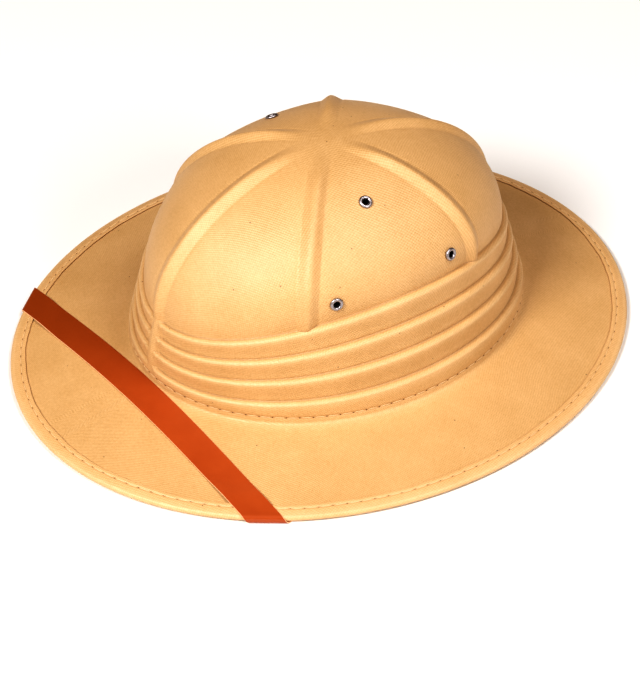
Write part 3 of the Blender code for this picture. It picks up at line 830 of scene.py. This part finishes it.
def strapSide(side):
    # Two rails from the middle of the brim's front to a sewn end: straight over the brim, a half-turn round
    # its edge about a line that touches the edge, and straight along the underside and up into the crown
    slant = math.radians(strap["slant"])
    along = side * np.array([math.cos(slant), math.sin(slant)])
    beside = np.array([-math.sin(slant), math.cos(slant)])
    gap, thick, width = strap["gap"], strap["thickness"], strap["width"]
    front = crown["setBack"] - crown["length"] / 2
    middle = np.array([0.0, front - 2 * gap - width / 2 / math.cos(slant)])
    size = np.array([brim["width"], brim["length"]]) / 2
    centre = np.array([0.0, crown["setBack"]])
    mouth = np.array([crown["width"], crown["length"]]) / 2 - crown["wall"] - 2 * gap - thick / 2
    sewn = math.radians(strap["sewn"])
    target = centre + mouth * np.array([side * math.sin(sewn), -math.cos(sewn)])
    low = crown["edgeZ"] - hem["thickness"] / 2 - gap - thick / 2
    normal = along
    for _ in range(30):
        edge = np.array([-normal[1], normal[0]])
        roll = size ** 2 * normal / np.linalg.norm(size * normal) - normal * hem["thickness"] / 2
        roundEdge = math.pi * (crown["edgeZ"] - low) / (along @ normal)
        leaves = middle + along * ((roll - middle) @ normal / (along @ normal) + roundEdge)
        back = target - roll - edge * ((leaves - roll) @ edge)
        normal = along - back / np.linalg.norm(back)
        normal /= np.linalg.norm(normal)
    lean = (beside @ normal) / (along @ normal)
    toRoll = (roll - middle) @ normal / (along @ normal)
    widths = np.array([-width / 2, width / 2])
    starts = middle + np.outer(toRoll - widths * lean, along) + np.outer(widths, beside)
    high = strapRest(starts)
    top = high.max() + gap + thick / 2
    radius, axisZ = (top - low) / 2, (top + low) / 2
    s = np.linspace(0.0, 1.0, strap["rows"][0])[:-1, None]
    out = s * toRoll - widths * lean * s * s
    plan = middle + out[..., None] * along + widths[:, None] * beside
    over = withHeight(plan, top + strapRest(plan) - high)
    phi = np.linspace(0.0, math.pi, strap["rows"][1])[:, None]
    level = (starts + phi[..., None] * radius / (along @ normal) * along - roll) @ edge
    outward = np.sin(phi) ** strap["crease"]
    upward = np.sign(np.cos(phi)) * np.abs(np.cos(phi)) ** strap["crease"]
    plan = roll + level[..., None] * edge + (normal * radius) * outward[..., None]
    rolled = withHeight(plan, np.broadcast_to(axisZ + radius * upward, level.shape))
    begin = rolled[-1, :, :2]
    away = along - 2 * (along @ normal) * normal
    cross = beside - 2 * (beside @ normal) * normal
    origin = begin.mean(axis=0)
    crossing = origin + away * ovalReach(origin - centre, away, mouth)
    inwards = -(crossing - centre) / mouth ** 2
    inwards /= np.linalg.norm(inwards)
    tangent = np.array([-inwards[1], inwards[0]])
    curve = (inwards @ (mouth ** 2 * inwards)) ** 1.5 / (mouth[0] * mouth[1]) ** 2
    mouthLean = (cross @ inwards) / (away @ inwards)
    startS = (begin - origin) @ away
    finalS = (crossing - origin) @ away + strap["climb"] / (away @ inwards) - widths * mouthLean
    run = startS + (finalS - startS) * np.linspace(0.0, 1.0, strap["rows"][2])[1:, None]
    spot = origin + run[..., None] * away + widths[:, None] * cross
    past = (spot - crossing) @ inwards
    c = (spot - crossing) @ tangent
    wall = c * c / 2 * curve * smooth(1 + past / (2 * width))
    below = np.maximum(low, strapUnder(spot))
    inward, z = strapClimb(past, float(strapUnder(crossing)))
    inside = crossing + c[..., None] * tangent + (wall + inward)[..., None] * inwards
    plan = np.where((past <= 0)[..., None], spot + wall[..., None] * inwards, inside)
    return np.concatenate([over, rolled, withHeight(plan, np.where(past <= 0, below, z))])


def strapGrid():
    # Rounded-rectangle section carried between the two rails
    rightSide, leftSide = strapSide(-1), strapSide(1)
    rails = np.concatenate([rightSide[:0:-1], leftSide])
    front, rear = rails[:, 0], rails[:, 1]
    middle = (front + rear) / 2
    along = np.gradient(middle, axis=0)
    normal = unit(np.cross(along, rear - front))
    half = corner = strap["thickness"] / 2
    turn = np.radians(np.linspace(0, 90, 5))
    flats = 9
    bend = 1 - corner / (strap["width"] / 2) * (1 - np.sin(turn))
    x = np.concatenate([np.linspace(-0.9, 0.9, flats), bend])
    y = np.concatenate([np.full(flats, half), half - corner * (1 - np.cos(turn))])
    x = np.concatenate([x, x[::-1], -x[flats:], -x[flats:][::-1]])
    y = np.concatenate([y, -y[::-1], -y[flats:], y[flats:][::-1]])
    order = np.argsort(np.arctan2(y / half, x), kind="stable")
    x, y = x[order], y[order]
    points = middle[:, None] + x[:, None] * ((rear - front) / 2)[:, None] + y[:, None] * normal[:, None]
    length = np.concatenate([[0], np.cumsum(np.linalg.norm(np.diff(middle, axis=0), axis=1))])
    uv = np.stack(np.broadcast_arrays(length[:, None], (x * strap["width"] / 2)[None]), -1)
    return points, x, uv, length[-1]


strapPoints, strapAcross, strapUv, strapLength = strapGrid()
ends = (strapPoints[0].mean(0), strapPoints[-1].mean(0))
strapMap = np.concatenate([strapUv.reshape(-1, 2), [strapUv[0].mean(0), strapUv[-1].mean(0)]])
strapPiece = facesOut(gridObject("chinStrap", strapPoints, poles=ends, uv=strapMap))
# Length along the strip at which it turns over the brim's right edge
strapFold = strapUv[np.argmin(strapPoints[:, :, 0].mean(1)), 0, 0]
print("strap: %.0f mm long, right fold at %.0f mm" % (strapLength * 1000, strapFold * 1000))


def leatherMaterial(foldAt):
    # Glossy pressed grain, slow shifts of tone along the strip, and painted shade on the stretch by the right
    # fold
    material, tree, shader = newMaterial("leather, vinyl faced", strap["topColour"], strap["roughness"],
        Specular_IOR_Level=strap["specular"])
    flat = addNode(tree, "UVMap", {"uv_map": "clothMap"}).outputs["UV"]
    pores = addNode(tree, "TexVoronoi", {"feature": "F1"}, Vector=flat, Scale=strap["poreScale"])
    shift = addNode(tree, "TexNoise", Vector=flat, Scale=strap["shiftScale"], Detail=3.0)
    tone = addNode(tree, "Mix", {"data_type": "RGBA"}, Factor=shift.outputs["Fac"],
        i6=linearColour(strap["deepColour"]), i7=linearColour(strap["topColour"]))
    length = addNode(tree, "SeparateXYZ", Vector=flat)
    # Painted shade: darkest from the right sewn end to just past the right fold, fading out over the brim
    dark, start, end = strap["dark"]
    paintedEndShade = addNode(tree, "MapRange", Value=length.outputs["X"], From_Min=foldAt + start,
        From_Max=foldAt + end, To_Min=dark, To_Max=0.0)
    tone = addNode(tree, "Mix", {"data_type": "RGBA"}, Factor=paintedEndShade.outputs["Result"],
        i6=tone.outputs[2], i7=linearColour(strap["darkColour"]))
    tree.links.new(tone.outputs[2], shader.inputs["Base Color"])
    bump = addNode(tree, "Bump", Height=pores.outputs["Distance"], Strength=strap["bump"],
        Distance=strap["bumpDepth"])
    tree.links.new(bump.outputs["Normal"], shader.inputs["Normal"])
    return material


place(strapPiece, "chin_strap", "red_brown_leather", leatherMaterial(strapFold))
rawEdge = plainMaterial("leather, raw cut edge", strap["edgeColour"], strap["edgeRoughness"])
strapPiece.data.materials.append(rawEdge)
# The raw edge's material goes to the faces at both sides and to the two end caps
outside = np.abs(strapAcross) > strap["edgeFrom"]
sideFaces = np.tile(outside & np.roll(outside, -1), len(strapPoints) - 1)
edgeFaces = np.ones(len(strapPiece.data.polygons), np.int32)
edgeFaces[:len(sideFaces)] = sideFaces
strapPiece.data.polygons.foreach_set("material_index", edgeFaces)


# Stitches: cotton thread in a lockstitch, each stitch a short raised bead between two needle holes

def stitchMesh(path, outward, pitch, radius):
    # Along a closed path each stitch is a tube, thick in its middle; its ends dip into the needle holes
    path, outward = np.vstack([path, path[:1]]), np.vstack([outward, outward[:1]])
    length = np.concatenate([[0], np.cumsum(np.linalg.norm(np.diff(path, axis=0), axis=1))])
    count = int(length[-1] / pitch)
    pitch = length[-1] / count
    sides, rings = 6, 7
    m = np.linspace(0, 1, rings)
    # A stitch runs from 0.07 to 0.93 of its pitch, and its ends are about a third as thick as its middle
    s = (np.arange(count)[:, None] + 0.07 + 0.86 * m[None]) * pitch

    def along(values, where):
        return np.stack([np.interp(where, length, values[:, k]) for k in range(3)], -1)

    middle, out = along(path, s), unit(along(outward, s))
    beside = np.cross(unit(along(path, s + 0.0004) - middle), out)
    bulge = np.sin(math.pi * m) ** 0.5
    thick = radius * (0.35 + 0.65 * bulge)[None, :, None, None]
    # Its middle stands 0.8 radii above the path, and its ends as much below
    lift = (radius * (1.6 * bulge - 0.8))[None, :, None]
    turn = fullTurn(sides)
    ring = np.cos(turn)[:, None] * beside[:, :, None] + np.sin(turn)[:, None] * out[:, :, None]
    points = (middle + out * lift)[:, :, None] + ring * thick
    i, j, k = np.meshgrid(np.arange(count), np.arange(rings - 1), np.arange(sides), indexing="ij")
    a = (i * rings + j) * sides
    b = a + sides
    k2 = (k + 1) % sides
    walls = np.stack([a + k, a + k2, b + k2, b + k], -1).reshape(-1, 4)
    cap = np.arange(count)[:, None] * rings * sides + np.arange(sides)
    faces = (walls, cap[:, ::-1], cap + (rings - 1) * sides)
    holes = along(path, np.arange(count) * pitch)
    holeOut = along(outward, np.arange(count) * pitch)
    return points.reshape(-1, 3), faces, holes, holeOut


def holePlugs(spots, outward, radius):
    # Small dark plugs of painted shade that show as needle holes; their tops stand 0.09 mm out to clear the
    # cloth's facets
    outward = unit(outward)
    first = unit(np.cross(outward, np.array([0.3, 0.2, 0.93])))
    second = np.cross(outward, first)
    sides = 10
    turn = fullTurn(sides)
    rim = np.cos(turn)[None, :, None] * first[:, None] + np.sin(turn)[None, :, None] * second[:, None]
    low = spots[:, None] + rim * radius - outward[:, None] * 0.00025
    high = spots[:, None] + rim * radius * 0.8 + outward[:, None] * 0.00009
    points = np.concatenate([low, high], 1).reshape(-1, 3)
    base = np.arange(len(spots))[:, None] * 2 * sides
    j = np.arange(sides)
    k = (j + 1) % sides
    walls = (np.stack([j, k, k + sides, j + sides], -1)[None] + base[:, None]).reshape(-1, 4)
    return points, (walls, base + j[::-1], base + sides + j)


def bandSeam():
    # Path of the band's seam on the last face, and its outward directions
    angles = fullTurn(900)
    down = 1 - seam["bandHeight"] / bandHeight(angles)
    last = pleats["count"] - 1
    t = down * pleats["count"] - last
    here = bandSurface(angles, np.full_like(angles, last), t)
    below = bandSurface(angles, np.full_like(angles, last), t + 0.02)
    out = np.cross(np.roll(here, -1, axis=0) - here, here - below)
    return here, unit(out)


def hemSeam(row, sign):
    # One row of the hem, pointing up or down
    return hemPoints[row], np.tile([0.0, 0.0, sign], (len(hemPoints[row]), 1))


seamPaths = ((*bandSeam(), seam["bandPitch"]), (*hemSeam(seamRow, 1.0), seam["hemPitch"]),
        (*hemSeam(underSeamRow, -1.0), seam["hemPitch"]))
threads, holes = [], []
for path, out, pitch in seamPaths:
    points, faces, spots, directions = stitchMesh(path, out, pitch, seam["thread"])
    threads.append((points, faces))
    holes.append(holePlugs(spots, directions, seam["hole"]))


def joined(name, parts):
    # Sets of points, each with its tables of faces, as one mesh
    points, faces, count = [], [], 0
    for partPoints, tables in parts:
        points.append(partPoints)
        for table in tables:
            faces += (table + count).tolist()
        count += len(partPoints)
    mesh = bpy.data.meshes.new(name)
    mesh.from_pydata(np.vstack(points).tolist(), [], faces)
    return finishMesh(name, mesh)


threadPiece = facesOut(joined("seamThread", threads))
place(threadPiece, None, "tan_twill_hem", plainMaterial("cotton thread", seam["threadColour"], 0.75))
holePiece = facesOut(joined("needleHoles", holes))
place(holePiece, None, "tan_twill_hem", plainMaterial("needle hole in cloth", seam["holeShadeColour"], 0.95))
print("seams:", len(threadPiece.data.polygons), "faces")


# Studio: a white floor, three soft lights and the camera

studio = {
    "target": (0.01237, -0.00927, 0.00069),
    "distance": 1.5,
    "azimuth": 57.059,
    "elevation": 39.629,
    "lens": 156.18,
    # Each soft light: angle around from the front, degrees up, watts
    "lights": (("keyLight", 17.0, 45.0, 39.0), ("sideLight", 100.0, 35.0, 14.0),
        ("rimLight", 120.0, 65.0, 14.0)),
    "lightDistance": 2.5,
    "lightSize": 0.9,
    "aim": (0, 0, 0.05),
    "floorReach": 4,
    "floorColour": "#f4f3f1",
    "world": 0.06,
    "worldColour": "#ffb25c",  # warm light that the cloth and the room throw back into the shade
}
floorMesh = bpy.data.meshes.new("studioFloor")
# The hat stands on its lowest point, the strap's folds
low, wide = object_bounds()[0][2], studio["floorReach"]
corners = [(x * wide, y * wide, low) for x, y in ((-1, -1), (1, -1), (1, 1), (-1, 1))]
floorMesh.from_pydata(corners, [], [(0, 1, 2, 3)])
floor = addObject("studioFloor", floorMesh)
floorMesh.materials.append(plainMaterial("white paper, matt", studio["floorColour"], 0.9))


def direction(around, up):
    # Unit vector towards degrees around from the hat's front and degrees up
    a, e = math.radians(around), math.radians(up)
    return Vector((math.sin(a) * math.cos(e), -math.cos(a) * math.cos(e), math.sin(e)))


target = Vector(studio["target"])
camera = addObject("camera", bpy.data.cameras.new("camera"))
camera.location = target + studio["distance"] * direction(studio["azimuth"], studio["elevation"])
camera.rotation_euler = (target - camera.location).to_track_quat("-Z", "Y").to_euler()
camera.data.sensor_width = 36.0
camera.data.lens = studio["lens"]
scene.camera = camera

for name, around, up, power in studio["lights"]:
    light = bpy.data.lights.new(name, "AREA")
    light.shape = "DISK"
    light.size = studio["lightSize"]
    light.energy = power
    lamp = addObject(name, light)
    lamp.location = studio["lightDistance"] * direction(around, up)
    lamp.rotation_euler = (Vector(studio["aim"]) - lamp.location).to_track_quat("-Z", "Y").to_euler()
world = bpy.data.worlds.new("studioAir")
world.use_nodes = True
air = world.node_tree.nodes["Background"].inputs
air["Color"].default_value = linearColour(studio["worldColour"])
air["Strength"].default_value = studio["world"]
scene.world = world
scene.view_settings.view_transform = "Standard"
scene.view_settings.look = "Very High Contrast"
print("studio set")
